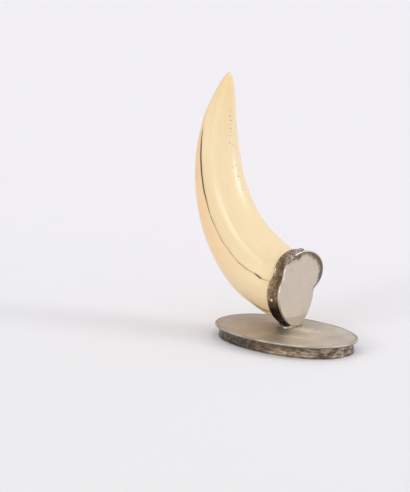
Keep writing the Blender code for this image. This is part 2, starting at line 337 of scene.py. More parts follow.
def tusk_pits(share, angle, span):
    """The small pits on the concave side, and the soft rims round them."""
    pits = np.zeros_like(span)
    rims = np.zeros_like(span)
    for pit_share, pit_angle, radius in PIT_PLACES:
        across = (angle - math.radians(pit_angle)) * span
        away = np.hypot(across, (share - pit_share) * TUSK_LENGTH * 0.8)
        pits = np.maximum(pits, bell(away, radius))
        rims = np.maximum(rims, bell(away, radius * 2.4))
    return pits, rims


def make_tusk():
    fine, fine_back, fine_height = tusk_spine()
    start = np.interp(COLLAR_FRONT + 0.3, fine_back, fine)
    clear = np.interp(COLLAR_FRONT + COLLAR_DEPTH + 0.4, fine_back, fine)
    along = np.linspace(0.0, 1.0, TUSK_ROWS)
    share = mix(start, TIP_STOP, 1.0 - (1.0 - along) ** 1.25)[:, None]
    turns = clustered_turns(TUSK_COLUMNS, CRACK_MIDDLE, PIT_ANGLE)[None, :]
    angle = crack_line(share) + turns

    # behind the collar the root's outline changes into the free tusk
    reach = tusk_reach(share, angle)
    back = np.interp(share, fine, fine_back)
    height = np.interp(share, fine, fine_height)
    inside = np.clip((back - COLLAR_FRONT) / COLLAR_DEPTH, 0.0, 1.0)
    root_side, root_height = root_outline(angle, -ROOT_INSET, BACK_FLARE * inside)
    freed = smooth_step((share - clear) / 0.10)
    lean = heading(share) * smooth_step((share - clear) / 0.102)
    middle = mix(ROOT_CENTRE[1], height, freed)
    rise = mix(root_height - ROOT_CENTRE[1], reach * np.sin(angle), freed)
    drift = SIDE_DRIFT * share + SIDE_CURVE * share * share
    side = mix(root_side, ROOT_CENTRE[0] + reach * np.cos(angle), freed) + drift * freed
    points = stacked(-back + rise * np.sin(lean), side, middle + rise * np.cos(lean))

    # a split with soft shoulders follows the flank groove, and a short one lies under the root
    normal = grid_normals(points)
    span = np.linalg.norm(points - points.mean(1, keepdims=True), axis=-1)
    grain = stacked(np.cos(angle) * span, np.sin(angle) * span, share * TUSK_LENGTH)
    lengthwise = grain * (0.02, 0.02, 1.0)
    wander = 0.07 * soft_noise(lengthwise, 2.6, 5) + 0.16 * soft_noise(lengthwise, 9.0, 6)
    from_crack = turns * span + wander
    bold = np.interp(share, BOLD_SHARE, BOLD_LEVEL)
    broken = np.clip(0.95 + 0.25 * soft_noise(grain * (0.01, 0.01, 1.0), 3.4, 9), 0.2, 1.2)
    crack = bell(from_crack, mix(0.18, 0.52, bold)) * np.clip(bold * broken * 1.40, 0.0, 1.0)
    shoulder = bell(from_crack, 1.6) * bold
    split = bell((angle - SPLIT_ANGLE) * span + wander, 0.60) * bell(share - SPLIT_SHARE, 0.042)
    pits, rims = tusk_pits(share, angle, span)

    body = smooth_step((share - clear) / 0.04) * (1.0 - 0.5 * share)
    swell = 0.22 * soft_noise(points, 22.0, 21) + 0.08 * soft_noise(points, 9.0, 22)
    flutes = 0.045 * soft_noise(grain * (1.0, 1.0, 0.03), 2.2, 23)
    flutes += 0.018 * soft_noise(grain * (1.0, 1.0, 0.05), 0.9, 24)
    push = (swell + flutes) * body
    lines = CRACK_DEPTH * crack + SHOULDER_DEPTH * shoulder + SPLIT_DEPTH * split
    push -= lines * smooth_step((share - clear + 0.01) / 0.02)
    push -= PIT_DEPTH * pits
    # the outer side of the tip is worn to a slight facet
    worn = 0.30 * smooth_step((share - 0.86) / 0.12) + 0.50 * bell(share - 0.905, 0.045)
    push -= worn * bell(turned(angle, 225.0), 0.75)
    points = points + normal * push[..., None]

    beyond = smooth_step((from_crack + 0.4) / 2.2) * smooth_step((math.pi - turns) / 0.9)
    masks = {
        "grain": grain,
        "crack": np.clip(crack + 0.95 * split, 0.0, 1.0),
        "shoulder": np.clip(shoulder + 0.3 * rims, 0.0, 1.0),
        "pit": pits,
        "convex": 0.5 - 0.5 * np.sin(angle),
        "beyond": beyond * np.interp(share, YELLOW_SHARE, YELLOW_LEVEL),
        "along": share,
    }
    return grid_object("tusk_ivory", from_collar(points), masks)


# ------------------------------------------------------------ collar and cap
def gourd_ring():
    """Angles round the gourd outline, and places on a circle to draw noise from."""
    angle = full_turn(GOURD_COLUMNS)[None, :]
    return angle, stacked(np.cos(angle) * 20.0, np.sin(angle) * 20.0, 0.0)


def make_end_plate():
    """Face, rolled edge with an uneven solder bead, and the hidden back."""
    angle, ring = gourd_ring()
    side, height = root_outline(angle, PLATE_PROUD)
    reach = np.hypot(side - ROOT_CENTRE[0], height - ROOT_CENTRE[1])
    shrink = np.concatenate([np.linspace(0.03, 0.86, 34)[:-1], np.linspace(0.86, 1.0, 34)])[:, None]
    edge_gap = (1.0 - shrink) * reach
    face_side = ROOT_CENTRE[0] + (side - ROOT_CENTRE[0]) * shrink
    face_height = ROOT_CENTRE[1] + (height - ROOT_CENTRE[1]) * shrink
    spot = stacked(face_side, face_height, 0.0)
    lumps = 0.5 + 0.6 * soft_noise(ring, 1.9, 31) + 0.35 * soft_noise(ring, 0.8, 32)
    near_side = smooth_step((-np.cos(angle - math.radians(8.0)) + 0.35) / 0.7)
    bead = bell(edge_gap - 0.50, 0.36) * np.clip(lumps, 0.1, 1.3) * mix(0.30, 1.0, near_side)
    dish = 0.10 * soft_noise(spot, 17.0, 33) + 0.012 * soft_noise(spot, 5.0, 34)
    depth = -0.12 + dish * np.clip(edge_gap / 3.0, 0.0, 1.0) + 0.17 * bead
    depth = depth - 0.45 * quarter_round(edge_gap, 0.45)
    rings = [stacked(depth, face_side, face_height)]
    wobble = 0.10 * soft_noise(ring, 1.3, 35)
    wall = root_outline(angle, PLATE_PROUD - 0.02 + wobble)
    for back in (-0.7, -0.9, -1.1, -1.3, -1.48):
        rings.append(stacked(back, *wall))
    rings.append(stacked(-1.48, *root_outline(angle, -4.0)))
    points = np.concatenate(rings)

    # dark comb-like oxide runs inward from the top edge, and a painted reflection of the base
    # darkens the plate's foot below a wavy line
    reach_in = 3.9 + 0.6 * soft_noise(ring, 2.4, 36) + 1.0 * soft_noise(ring, 0.42, 37)
    where = np.maximum(bell(turned(angle, 35.0), 0.72), 0.75 * bell(turned(angle, 92.0), 0.42))
    stain = smooth_step((reach_in * where * 1.5 - edge_gap + 0.8) / 3.0) * smooth_step(where * 3.0)
    stain = stain * smooth_step((edge_gap - 0.50) / 0.5)
    painted_reflection_line = 15.2 + 0.5 * soft_noise(spot, 6.0, 38) + 0.08 * (face_side - 2.0) ** 2 / 6.0
    hidden = len(rings) - 1
    masks = {
        "stain": with_rows(stain, hidden),
        "foot": with_rows(0.75 * smooth_step((painted_reflection_line - face_height) / 1.2), hidden),
        "rim": with_rows(bell(edge_gap - 0.35, 0.65), hidden, 0.35),
    }
    return grid_object("end_plate_face", from_collar(points), masks)


def make_collar_band():
    """The hammered band, drawn in at its waist and turned out at its back lip."""
    angle, ring = gourd_ring()
    share = np.concatenate([
        [0.0, 0.012, 0.03, 0.06], np.linspace(0.10, 0.90, 30), [0.94, 0.97, 0.988, 1.0],
    ])[:, None]
    depth = COLLAR_FRONT - 0.02 + (COLLAR_DEPTH + 0.02) * share
    edge = np.minimum(share, 1.0 - share) * COLLAR_DEPTH
    surface = stacked(ring[..., 0], ring[..., 1], depth)
    hammer = 0.17 * soft_noise(surface, 5.5, 41) + 0.07 * soft_noise(surface, 2.2, 42)
    hammer += 0.025 * soft_noise(surface, 0.9, 43)
    waist = -0.42 * np.sin(math.pi * share) ** 0.8
    lip = 0.26 * bell((1.0 - share) * COLLAR_DEPTH - 0.45, 0.5)
    grow = 0.12 - PLATE_PROUD + waist + lip - 0.22 * quarter_round(edge, 0.3)
    grow = grow + hammer * np.clip(edge / 0.8, 0.25, 1.0)
    wave = 0.16 * soft_noise(ring, 4.0, 44) * smooth_step((share - 0.75) / 0.25)
    side, height = root_outline(angle, grow, BACK_FLARE * share)
    rings = [stacked(-(depth + wave), side, height)]
    # the low, downward-facing part of the band: partly patina, partly painted shade and dark
    # reflection of the base
    under = smooth_step((27.0 - height) / 8.0)
    for level in (1.0, 0.85, 0.5, 0.0):
        place = COLLAR_FRONT + (COLLAR_DEPTH - 0.06) * level
        inset, shift = (1.92, wave[-1:]) if level == 1.0 else (1.32, 0.0)
        rings.append(stacked(-(place + shift), *root_outline(angle, -inset, BACK_FLARE * level)))
    hidden = len(rings) - 1
    masks = {
        "rim": with_rows(bell(edge - 0.1, 0.4) * np.ones_like(angle), hidden),
        "low": with_rows(under, hidden, 1.0),
    }
    return grid_object("collar_band_worn", from_collar(np.concatenate(rings)), masks, ends="loop")


def outline_frame(angle, grow):
    """Point, outward direction and running direction on the root outline."""
    side, height = root_outline(np.array([angle]), grow)
    next_side, next_height = root_outline(np.array([angle + 0.01]), grow)
    point = np.array([0.0, side[0], height[0]])
    run = np.array([0.0, next_side[0] - side[0], next_height[0] - height[0]])
    run /= np.linalg.norm(run)
    return point, np.array([0.0, run[2], -run[1]]), run


def make_seam_solder():
    """A lumpy run of solder that clings to the top of the collar."""
    rows, columns = 220, 36
    turn = full_turn(columns)
    points = np.zeros((rows, columns, 3))
    for row, share in enumerate(np.linspace(0.0, 1.0, rows)):
        here, outward, _ = outline_frame(math.radians(mix(74.0, 124.0, share)), 0.10)
        lump = abs(math.sin(share * 6.5 * math.pi + 0.5 * math.sin(share * 9.0))) ** 0.7
        radius = 0.72 + 0.62 * lump * (0.8 + 0.2 * math.sin(share * 17.0))
        radius *= min(1.0, (min(share, 1.0 - share) / 0.06 + 0.001) ** 0.5)
        depth = 2.6 + 1.1 * math.sin(share * 6.0) + 0.5 * math.sin(share * 19.0)
        points[row] = here + outward * (radius * np.sin(turn) * 0.95 + 0.15)[:, None]
        points[row, :, 0] -= depth + radius * 1.9 * np.cos(turn)
    normal = grid_normals(points)
    bumps = 0.24 * soft_noise(points, 1.3, 51) + 0.12 * soft_noise(points, 0.6, 52)
    return grid_object("seam_solder_lumps", from_collar(points + normal * bumps[..., None]))


# Radius, rise and darkness of the pin's rings, from its sunk washer to its crown.
PIN_PROFILE = (
    (2.05, -0.50, 0.95), (2.02, 0.10, 0.95), (1.88, 0.30, 0.90), (1.68, 0.32, 0.60),
    (1.50, 0.16, 1.00), (1.38, -0.12, 1.00), (1.28, 0.02, 1.00), (1.22, 0.26, 0.90),
    (1.08, 0.58, 0.30), (0.88, 0.84, 0.00), (0.62, 1.02, 0.00), (0.32, 1.12, 0.00),
    (0.05, 1.15, 0.00),
)


def make_pin():
    """The pin's domed head in its sunk ring."""
    here, outward, run = outline_frame(math.radians(197.5), -0.40)
    forward = np.array([1.0, 0.0, 0.0])
    turn = full_turn(48)[:, None]
    spokes = np.cos(turn) * run + np.sin(turn) * forward
    radius, rise, dark = np.array(PIN_PROFILE).T[..., None]
    points = here - 6.8 * forward + outward * rise[..., None] + radius[..., None] * spokes
    points += 0.03 * soft_noise(points, 0.7, 61)[..., None] * outward
    return grid_object("collar_pin_head", from_collar(points), {"groove": dark})


def make_foot_solder(name, hand, seed):
    """A fillet of solder between the collar's foot and the base."""
    back = -(COLLAR_FRONT + COLLAR_DEPTH)
    depth = np.linspace(1.3, back - 0.9, 90)[:, None]
    share = (depth - depth[0]) / (depth[-1] - depth[0])
    wide = np.linspace(0.0, 1.0, 44)[None, :]
    reach = 7.6 - 0.7 * np.cos(share * 9.0) - 2.2 * np.abs(2.0 * share - 1.0) ** 3
    side = LOWER_LOBE[0] + hand * mix(0.4, reach, wide)
    # the height of the collar's underside over each point
    lobe = (*LOWER_LOBE[:2], LOWER_LOBE[2] + BACK_FLARE, *LOWER_LOBE[3:])
    low = np.full(side.shape, lobe[1] - lobe[3] - 1.0)
    high = np.full(side.shape, lobe[1])
    for _ in range(HALVINGS):
        middle = (low + high) / 2.0
        above = lobe_level(side, middle, lobe, 0.0) > 0.0
        low = np.where(above, middle, low)
        high = np.where(above, high, middle)
    spot = stacked(depth, side, 0.0)
    lumps = 1.0 + 0.35 * soft_noise(spot, 2.4, seed) + 0.2 * soft_noise(spot, 1.0, seed + 1)
    mound = np.sqrt(np.clip(np.sin(math.pi * np.clip(wide * 0.94 + 0.06, 0.0, 1.0)), 0.0, 1.0))
    outside = np.maximum(np.maximum(depth, back - depth), 0.0)
    falling = np.clip(1.0 - (outside / 1.45) ** 1.2, 0.0, 1.0)
    top = np.where(outside > 0.05, 0.42 * mound * falling * lumps, 1.9 * mound * lumps)
    limit = np.where(outside > 0.05, 9.0, low - BASE_TOP + 0.35)
    upper = stacked(depth, side, BASE_TOP - 0.05 + np.minimum(top, limit))
    under = stacked(depth, side, BASE_TOP - 0.12)
    # one closed strip: over the top, back along the bottom
    points = np.concatenate([upper, under[:, ::-1]], 1)
    fresh = smooth_step((-points[..., 0] - 1.5) / 1.5) * smooth_step((8.0 + points[..., 0]) / 2.0)
    fresh = fresh if hand < 0.0 else 0.15 * fresh
    return grid_object(name, from_collar(points), {"fresh": fresh})


# ------------------------------------------------------------------ the base
def oval(angle, inset):
    """The base's outline, a little fuller than an ellipse, drawn in by the inset."""
    power = 2.0 / BASE_EXPONENT
    cosine, sine = np.cos(angle), np.sin(angle)
    x = BASE_HALF_LONG * np.sign(cosine) * np.abs(cosine) ** power
    y = BASE_HALF_SHORT * np.sign(sine) * np.abs(sine) ** power
    slope_x = np.sign(x) * np.abs(x / BASE_HALF_LONG) ** (BASE_EXPONENT - 1.0) / BASE_HALF_LONG
    slope_y = np.sign(y) * np.abs(y / BASE_HALF_SHORT) ** (BASE_EXPONENT - 1.0) / BASE_HALF_SHORT
    size = np.hypot(slope_x, slope_y)
    return x - slope_x / size * inset, y - slope_y / size * inset


def base_angles():
    return full_turn(OVAL_COLUMNS, 0.5)[None, :]


def make_base_plate():
    """The top with its low rim ridge, then the rolled edge and the hidden underside."""
    angle = base_angles()
    inset = np.concatenate([
        np.linspace(0.0, 2.0, 14)[:-1], np.linspace(2.0, 7.0, 14)[:-1], np.linspace(7.0, 27.0, 26),
    ])[::-1][:, None]
    x, y = oval(angle, np.minimum(inset, 2.0))
    shrink = 1.0 - np.maximum(inset - 2.0, 0.0) / 28.1
    shrink[0] = 0.01
    x, y = x * shrink, y * shrink
    spot = stacked(x, y, 0.0)
    ridge = 0.10 * bell(inset - 3.4, 0.6) - 0.06 * bell(inset - 4.6, 0.8)
    ridge = ridge - 0.16 * smooth_step((inset - 1.0) / 0.8)
    dents = 0.11 * soft_noise(spot, 19.0, 71) + 0.03 * soft_noise(spot, 7.0, 72)
    dents += 0.008 * soft_noise(spot, 2.5, 73)
    height = BASE_TOP - 0.05 - 0.62 * quarter_round(inset, 0.75) + 0.8 * ridge
    height = height + dents * np.clip(inset / 3.0, 0.0, 1.0)
    rings = [stacked(x, y, height)]
    nicks = 0.05 * np.abs(soft_noise(stacked(*oval(angle, 0.0), 0.0), 2.2, 74))
    edge_turns = np.radians((10.0, 30.0, 50.0, 70.0, 88.0))
    for turn in edge_turns:
        outline = oval(angle, 0.75 * (1.0 - math.cos(turn)) + nicks)
        rings.append(stacked(*outline, 7.72 - 0.8 * math.sin(turn)))
    for inward in (2.0, 3.4):
        rings.append(stacked(*oval(angle, inward), 6.90))

    # the rolled edge, where it turns down toward the band, carries painted shade
    rim = with_rows(bell(inset - 0.2, 0.7) * np.ones_like(angle), len(edge_turns), 0.9)
    border = bell(inset - 1.25, 0.55) * np.clip(0.55 + 0.8 * soft_noise(spot, 9.0, 75), 0.0, 1.0)
    # painted highlight: a pale line along the top of the rolled edge
    crest_highlight = bell(inset - 0.32, 0.30) * np.clip(0.75 + 0.5 * soft_noise(spot, 6.0, 77), 0.0, 1.0)
    # darker, greenish patches lie along the near side and in front of the collar's foot: partly
    # dirt, partly painted dark reflection of the collar and tusk
    ragged = 1.25 + 0.25 * soft_noise(spot, 8.0, 76)
    near_patch = 0.72 * smooth_step(ragged - np.hypot((x - 19.0) / 19.0, (y + 19.0) / 12.0))
    foot_patch = 0.95 * smooth_step(ragged - np.hypot((x - 10.0) / 13.0, (y + 4.0) / 11.0))
    hidden = len(rings) - 1
    masks = {
        "rim": with_rows(rim, hidden - len(edge_turns)),
        "border": with_rows(border, hidden),
        "crest_highlight": with_rows(crest_highlight, hidden),
        "dirt_and_dark_reflection": with_rows(np.maximum(near_patch, foot_patch), hidden),
    }
    return grid_object("base_plate_top", np.concatenate(rings), masks)


def make_base_band():
    """The dented upright band, with solder under the plate's edge."""
    angle = base_angles()
    share = np.concatenate([[0.0, 0.02, 0.05], np.linspace(0.09, 0.93, 24), [0.97, 1.0]])[:, None]
    height = mix(BAND_LOW, BAND_HIGH, share)
    spot = stacked(*oval(angle, BAND_INSET), height)
    bumps = 0.09 * soft_noise(spot, 4.5, 81) + 0.05 * soft_noise(spot, 1.8, 82)
    bumps += 0.025 * soft_noise(spot, 0.8, 83)
    foot = -0.30 * bell(height - 0.8, 0.5)
    hollow = 0.22 * np.sin(math.pi * share)
    solder = -0.35 * bell(height - 6.9, 0.45)
    solder = solder * np.clip(0.7 + 0.8 * soft_noise(spot, 3.0, 84), 0.0, 1.4)
    rings = [stacked(*oval(angle, BAND_INSET + foot + hollow + solder - bumps), height)]
    for level in (BAND_HIGH, 4.0, BAND_LOW):
        rings.append(stacked(*oval(angle, 3.8), level))
    masks = {"level": with_rows(share * np.ones_like(angle), len(rings) - 1, 1.0)}
    return grid_object("base_band_worn", np.concatenate(rings), masks, ends="loop")


def make_base_floor():
    """The thin bottom sheet with its nicked edge."""
    angle = base_angles()
    edge = stacked(*oval(angle, 2.0), 0.0)
    nicks = 0.07 * soft_noise(edge, 3.0, 91) + 0.04 * soft_noise(edge, 1.2, 92)
    rings = []
    for inset, level in ((12.0, 0.0), (3.0, 0.0), (2.25, 0.02), (2.05, 0.14), (1.98, 0.30),
                         (2.05, 0.46), (2.25, 0.58), (3.0, BAND_LOW), (12.0, BAND_LOW)):
        rings.append(stacked(*oval(angle, inset + nicks * (inset < 2.6)), level))
    return grid_object("base_floor_sheet", np.concatenate(rings))


# ------------------------------------------------------------------ materials
class Finish:
    """A procedural Principled material under construction."""

    SOCKETS = {
        "colour": "Base Color",
        "roughness": "Roughness",
        "metallic": "Metallic",
        "normal": "Normal",
        "specular": "Specular IOR Level",
        "subsurface": "Subsurface Weight",
        "radius": "Subsurface Radius",
        "scale": "Subsurface Scale",
    }

    def __init__(self, name):
        self.material = bpy.data.materials.new(name)
        self.material.use_nodes = True
        self.tree = self.material.node_tree
        self.shader = self.tree.nodes["Principled BSDF"]
        coordinates = self.tree.nodes.new("ShaderNodeTexCoord")
        scale = self.tree.nodes.new("ShaderNodeVectorMath")
        scale.operation = "SCALE"
        scale.inputs["Scale"].default_value = 1.0 / MM
        self.tree.links.new(coordinates.outputs["Object"], scale.inputs[0])
        self.place = scale.outputs[0]

    def put(self, socket, value):
        if hasattr(value, "is_linked"):
            self.tree.links.new(value, socket)
        elif isinstance(value, tuple) and len(value) == 3 and socket.type == "RGBA":
            socket.default_value = (*value, 1.0)
        else:
            socket.default_value = value

    def mask(self, label, vector=False):
        node = self.tree.nodes.new("ShaderNodeAttribute")
        node.attribute_name = label
        return node.outputs["Vector" if vector else "Fac"]

    def position(self, axis):
        """One coordinate of the place, in millimetres."""
        node = self.tree.nodes.new("ShaderNodeSeparateXYZ")
        self.put(node.inputs[0], self.place)
        return node.outputs[axis]

    def stretch(self, vector, amounts):
        node = self.tree.nodes.new("ShaderNodeVectorMath")
        node.operation = "MULTIPLY"
        self.put(node.inputs[0], vector)
        node.inputs[1].default_value = amounts
        return node.outputs[0]

    def noise(self, vector, size, detail=3.0, rough=0.55, bend=0.0):
        """Noise with features about size millimetres across."""
        node = self.tree.nodes.new("ShaderNodeTexNoise")
        self.put(node.inputs["Vector"], vector)
        node.inputs["Scale"].default_value = 1.0 / size
        node.inputs["Detail"].default_value = detail
        node.inputs["Roughness"].default_value = rough
        node.inputs["Distortion"].default_value = bend
        return node.outputs["Fac"]

    def levels(self, value, low, high, out_low=0.0, out_high=1.0):
        """An eased step between two output levels."""
        node = self.tree.nodes.new("ShaderNodeMapRange")
        node.interpolation_type = "SMOOTHSTEP"
        self.put(node.inputs["Value"], value)
        node.inputs["From Min"].default_value = low
        node.inputs["From Max"].default_value = high
        node.inputs["To Min"].default_value = out_low
        node.inputs["To Max"].default_value = out_high
        return node.outputs["Result"]

    def sum(self, first, second, operation="ADD"):
        node = self.tree.nodes.new("ShaderNodeMath")
        node.operation = operation
        self.put(node.inputs[0], first)
        self.put(node.inputs[1], second)
        return node.outputs[0]

    def times(self, first, second):
        return self.sum(first, second, "MULTIPLY")

    def blend(self, share, first, second):
        node = self.tree.nodes.new("ShaderNodeMix")
        node.data_type = "RGBA"
        node.clamp_factor = True
        self.put(node.inputs["Factor"], share)
        self.put(node.inputs[6], first)
        self.put(node.inputs[7], second)
        return node.outputs[2]

    def bump(self, height, distance, strength):
        node = self.tree.nodes.new("ShaderNodeBump")
        self.put(node.inputs["Height"], height)
        node.inputs["Distance"].default_value = distance * MM
        node.inputs["Strength"].default_value = strength
        return node.outputs["Normal"]

    def set(self, **values):
        for key, value in values.items():
            self.put(self.shader.inputs[self.SOCKETS[key]], value)
        return self.material


def ivory_finish():
    """Polished ivory, warmer along its outer curve, with brown in the split."""
    f = Finish("ivory_polished")
    grain = f.mask("grain", vector=True)
    fibres = f.noise(f.stretch(grain, (1.0, 1.0, 0.05)), 1.6, 4.0, 0.6)
    fine = f.noise(f.stretch(grain, (1.0, 1.0, 0.035)), 0.55, 3.0, 0.6)
    clouds = f.noise(f.stretch(grain, (1.0, 1.0, 0.35)), 15.0, 3.0, 0.5, 0.6)
    patches = f.noise(f.place, 26.0, 2.0, 0.5, 0.3)
    scratches = f.noise(f.stretch(grain, (0.25, 0.25, 3.0)), 1.3, 2.0, 0.5)
    convex = f.mask("convex")
    along = f.mask("along")
    crack = f.mask("crack")

    warm = f.sum(f.times(f.levels(convex, 0.5, 0.95), 0.22), f.times(f.mask("beyond"), 0.48))
    warm = f.times(warm, f.levels(patches, 0.25, 0.7, 0.6, 1.0))
    colour = f.blend(f.levels(clouds, 0.32, 0.68), (0.938, 0.765, 0.468), (0.925, 0.712, 0.397))
    for share, tint in (
        (warm, (0.88, 0.562, 0.295)),
        # painted shade: the concave side, which faces upward, is toned a little darker
        (f.levels(convex, 0.32, 0.04, 0.0, 0.75), (0.875, 0.715, 0.432)),
        (f.levels(along, 0.80, 1.0, 0.0, 0.70), (0.92, 0.66, 0.32)),
        (f.levels(fibres, 0.45, 0.75, 0.0, 0.22), (0.80, 0.60, 0.335)),
        (f.levels(fine, 0.55, 0.8, 0.0, 0.16), (0.90, 0.80, 0.58)),
        (f.times(f.mask("shoulder"), 0.38), (0.70, 0.48, 0.26)),
        (f.levels(f.mask("pit"), 0.35, 0.8), (0.12, 0.065, 0.03)),
        (f.levels(crack, 0.10, 0.45, 0.0, 0.75), (0.34, 0.19, 0.095)),
        (f.levels(crack, 0.40, 0.85), (0.075, 0.040, 0.020)),
    ):
        colour = f.blend(share, colour, tint)

    relief = f.sum(f.times(fine, 0.55), f.times(fibres, 0.45))
    relief = f.sum(relief, f.levels(scratches, 0.62, 0.78, 0.0, 0.25))
    # the polish is duller toward the tip and where the tusk enters the collar
    roughness = f.levels(clouds, 0.3, 0.7, 0.285, 0.325)
    matt = f.times(f.levels(along, 0.53, 0.63, 0.0, 0.23), f.levels(convex, 0.02, 0.12))
    roughness = f.sum(roughness, matt)
    roughness = f.sum(roughness, f.levels(along, 0.24, 0.09, 0.0, 0.20))
    roughness = f.sum(roughness, f.times(crack, 0.35))
    return f.set(
        colour=colour, roughness=roughness, specular=0.72, normal=f.bump(relief, 0.045, 0.5),
        subsurface=0.22, radius=(1.0, 0.55, 0.28), scale=0.0035,
    )


def metal_finish(name, pale, dark, brown, patch_size, share, rim_gain=0.0, rough=(0.28, 0.5),
                 relief_depth=0.05, grime_gain=0.6, squash=1.0):
    """Worn silver plate: two scales of tarnish, fine scratches, brighter rims."""
    f = Finish(name)
    drawn = f.stretch(f.place, (1.0, 1.0, squash))
    broad = f.noise(drawn, patch_size, 4.0, 0.6, 0.5)
    small = f.noise(drawn, patch_size * 0.22, 5.0, 0.7, 0.2)
    mixed = f.sum(f.times(broad, 0.65), f.times(small, 0.35))
    tarnish = f.levels(mixed, 0.58 - share * 0.42, 0.78 - share * 0.35)
    grime = f.levels(f.noise(f.place, patch_size * 0.5, 5.0, 0.7, 0.5), 0.52, 0.74)
    colour = f.blend(tarnish, pale, dark)
    colour = f.blend(f.times(grime, grime_gain), colour, brown)
    hair = f.noise(f.stretch(f.place, (0.16, 1.0, 1.4)), 0.35, 3.0, 0.6)
    cross_hair = f.noise(f.stretch(f.place, (1.2, 0.15, 1.0)), 0.4, 3.0, 0.6)
    relief = f.sum(f.times(hair, 0.5), f.times(cross_hair, 0.5))
    relief = f.sum(relief, f.times(small, 0.8))
    normal = f.bump(relief, relief_depth, 0.5)
    roughness = f.levels(mixed, 0.35, 0.7, *rough)
    if rim_gain:
        bright = f.times(f.mask("rim"), rim_gain)
        colour = f.blend(bright, colour, (0.86, 0.82, 0.74))
        roughness = f.sum(roughness, f.times(bright, -0.10))
    return f, colour, roughness, normal


def end_plate_finish():
    """Greyed silver plate with dark oxide inside its edge and a painted reflection of the base
    darkening its foot.
    """
    f, colour, roughness, normal = metal_finish(
        "plate_worn_silver",
        (0.675, 0.585, 0.475), (0.615, 0.52, 0.41), (0.49, 0.40, 0.305),
        patch_size=16.0, share=0.3, rim_gain=0.12, rough=(0.29, 0.37),
        relief_depth=0.014, grime_gain=0.30,
    )
    streak = f.noise(f.place, 1.1, 4.0, 0.7, 0.6)
    stain = f.times(f.mask("stain"), f.levels(streak, 0.30, 0.62, 0.62, 1.0))
    # painted reflection: below the wavy line the plate's foot takes the base's darker tone
    colour = f.blend(f.mask("foot"), colour, (0.44, 0.405, 0.34))
    colour = f.blend(stain, colour, (0.12, 0.082, 0.056))
    roughness = f.sum(roughness, f.times(stain, 0.15))
    return f.set(colour=colour, roughness=roughness, metallic=1.0, normal=normal)


def collar_finish():
    """Mottled brown-grey plate, almost black low down, partly patina and partly painted shade and
    dark reflection of the base.
    """
    f, colour, roughness, normal = metal_finish(
        "collar_aged_silver",
        (0.465, 0.335, 0.205), (0.165, 0.105, 0.058), (0.085, 0.052, 0.028),
        patch_size=4.5, share=0.55, rim_gain=0.25, rough=(0.31, 0.42),
        relief_depth=0.045, grime_gain=0.55,
    )
    # painted shade and dark reflection with some patina: the band's low part goes almost black
    colour = f.blend(f.times(f.mask("low"), 0.97), colour, (0.020, 0.016, 0.012))
    return f.set(colour=colour, roughness=roughness, metallic=1.0, normal=normal)


def base_top_finish():
    """Satin plate, painted darker toward its back half as a stand-in for the dark reflection of the
    tusk and collar, with a dark border, painted shade on its rolled edge and a painted highlight
    along its outer edge.
    """
    f, colour, roughness, normal = metal_finish(
        "base_top_silver",
        (0.76, 0.675, 0.575), (0.62, 0.54, 0.445), (0.48, 0.405, 0.315),
        patch_size=20.0, share=0.55, rough=(0.48, 0.60), relief_depth=0.018, grime_gain=0.4,
    )
    rim = f.mask("rim")
    crest_highlight = f.mask("crest_highlight")
    for share, tint in (
        # painted reflection: darker toward the back half, under the tusk and collar
        (f.levels(f.position("X"), 26.0, -20.0, 0.0, 0.55), (0.47, 0.385, 0.303)),
        # painted shade on the rolled edge where it turns down
        (f.times(rim, 0.90), (0.30, 0.25, 0.185)),
        # partly dirt, partly painted dark reflection of the collar and tusk
        (f.mask("dirt_and_dark_reflection"), (0.34, 0.295, 0.225)),
        (f.times(f.mask("border"), 0.75), (0.24, 0.20, 0.15)),
        # painted highlight along the top of the rolled edge
        (f.times(crest_highlight, 0.85), (0.88, 0.84, 0.75)),
    ):
        colour = f.blend(share, colour, tint)
    roughness = f.sum(roughness, f.times(rim, 0.15))
    roughness = f.sum(roughness, f.times(crest_highlight, -0.20))
    return f.set(colour=colour, roughness=roughness, metallic=1.0, normal=normal)


def base_band_finish():
    """Dirty plate with copper-coloured patches, with painted shade along its top and bottom."""
    f, colour, roughness, normal = metal_finish(
        "base_band_worn",
        (0.64, 0.565, 0.48), (0.13, 0.095, 0.066), (0.045, 0.032, 0.023),
        patch_size=3.8, share=0.62, rough=(0.29, 0.48),
        relief_depth=0.10, grime_gain=0.85, squash=1.8,
    )
    x = f.position("X")
    level = f.mask("level")
    spread = f.noise(f.stretch(f.place, (0.6, 0.6, 1.0)), 6.5, 4.0, 0.65, 0.5)
    copper = f.levels(spread, 0.52, 0.64)
    # the plate is rubbed through to bright metal along the middle of the right half
    rubbed = f.times(f.levels(x, 8.0, 20.0), f.levels(x, 42.0, 28.0))
    middle = f.times(f.levels(level, 0.05, 0.25), f.levels(level, 0.75, 0.45))
    rubbed = f.times(rubbed, middle)
    drag = f.noise(f.stretch(f.place, (0.35, 0.35, 1.6)), 1.6, 4.0, 0.65, 0.4)
    rubbed = f.times(rubbed, f.levels(drag, 0.42, 0.60))
    # painted shade under the plate's overhang and along the bottom
    upper_shade = f.levels(level, 0.80, 1.0, 0.0, 0.75)
    lower_shade = f.levels(level, 0.12, 0.0, 0.0, 0.6)
    for share, tint in (
        (f.times(copper, 0.78), (0.58, 0.385, 0.23)),
        (f.levels(x, 46.0, 12.0, 0.0, 0.62), (0.085, 0.062, 0.043)),
        (f.times(rubbed, 0.80), (0.74, 0.53, 0.34)),
        (f.sum(upper_shade, lower_shade, "MAXIMUM"), (0.045, 0.035, 0.025)),
    ):
        colour = f.blend(share, colour, tint)
    return f.set(colour=colour, roughness=roughness, metallic=1.0, normal=normal)


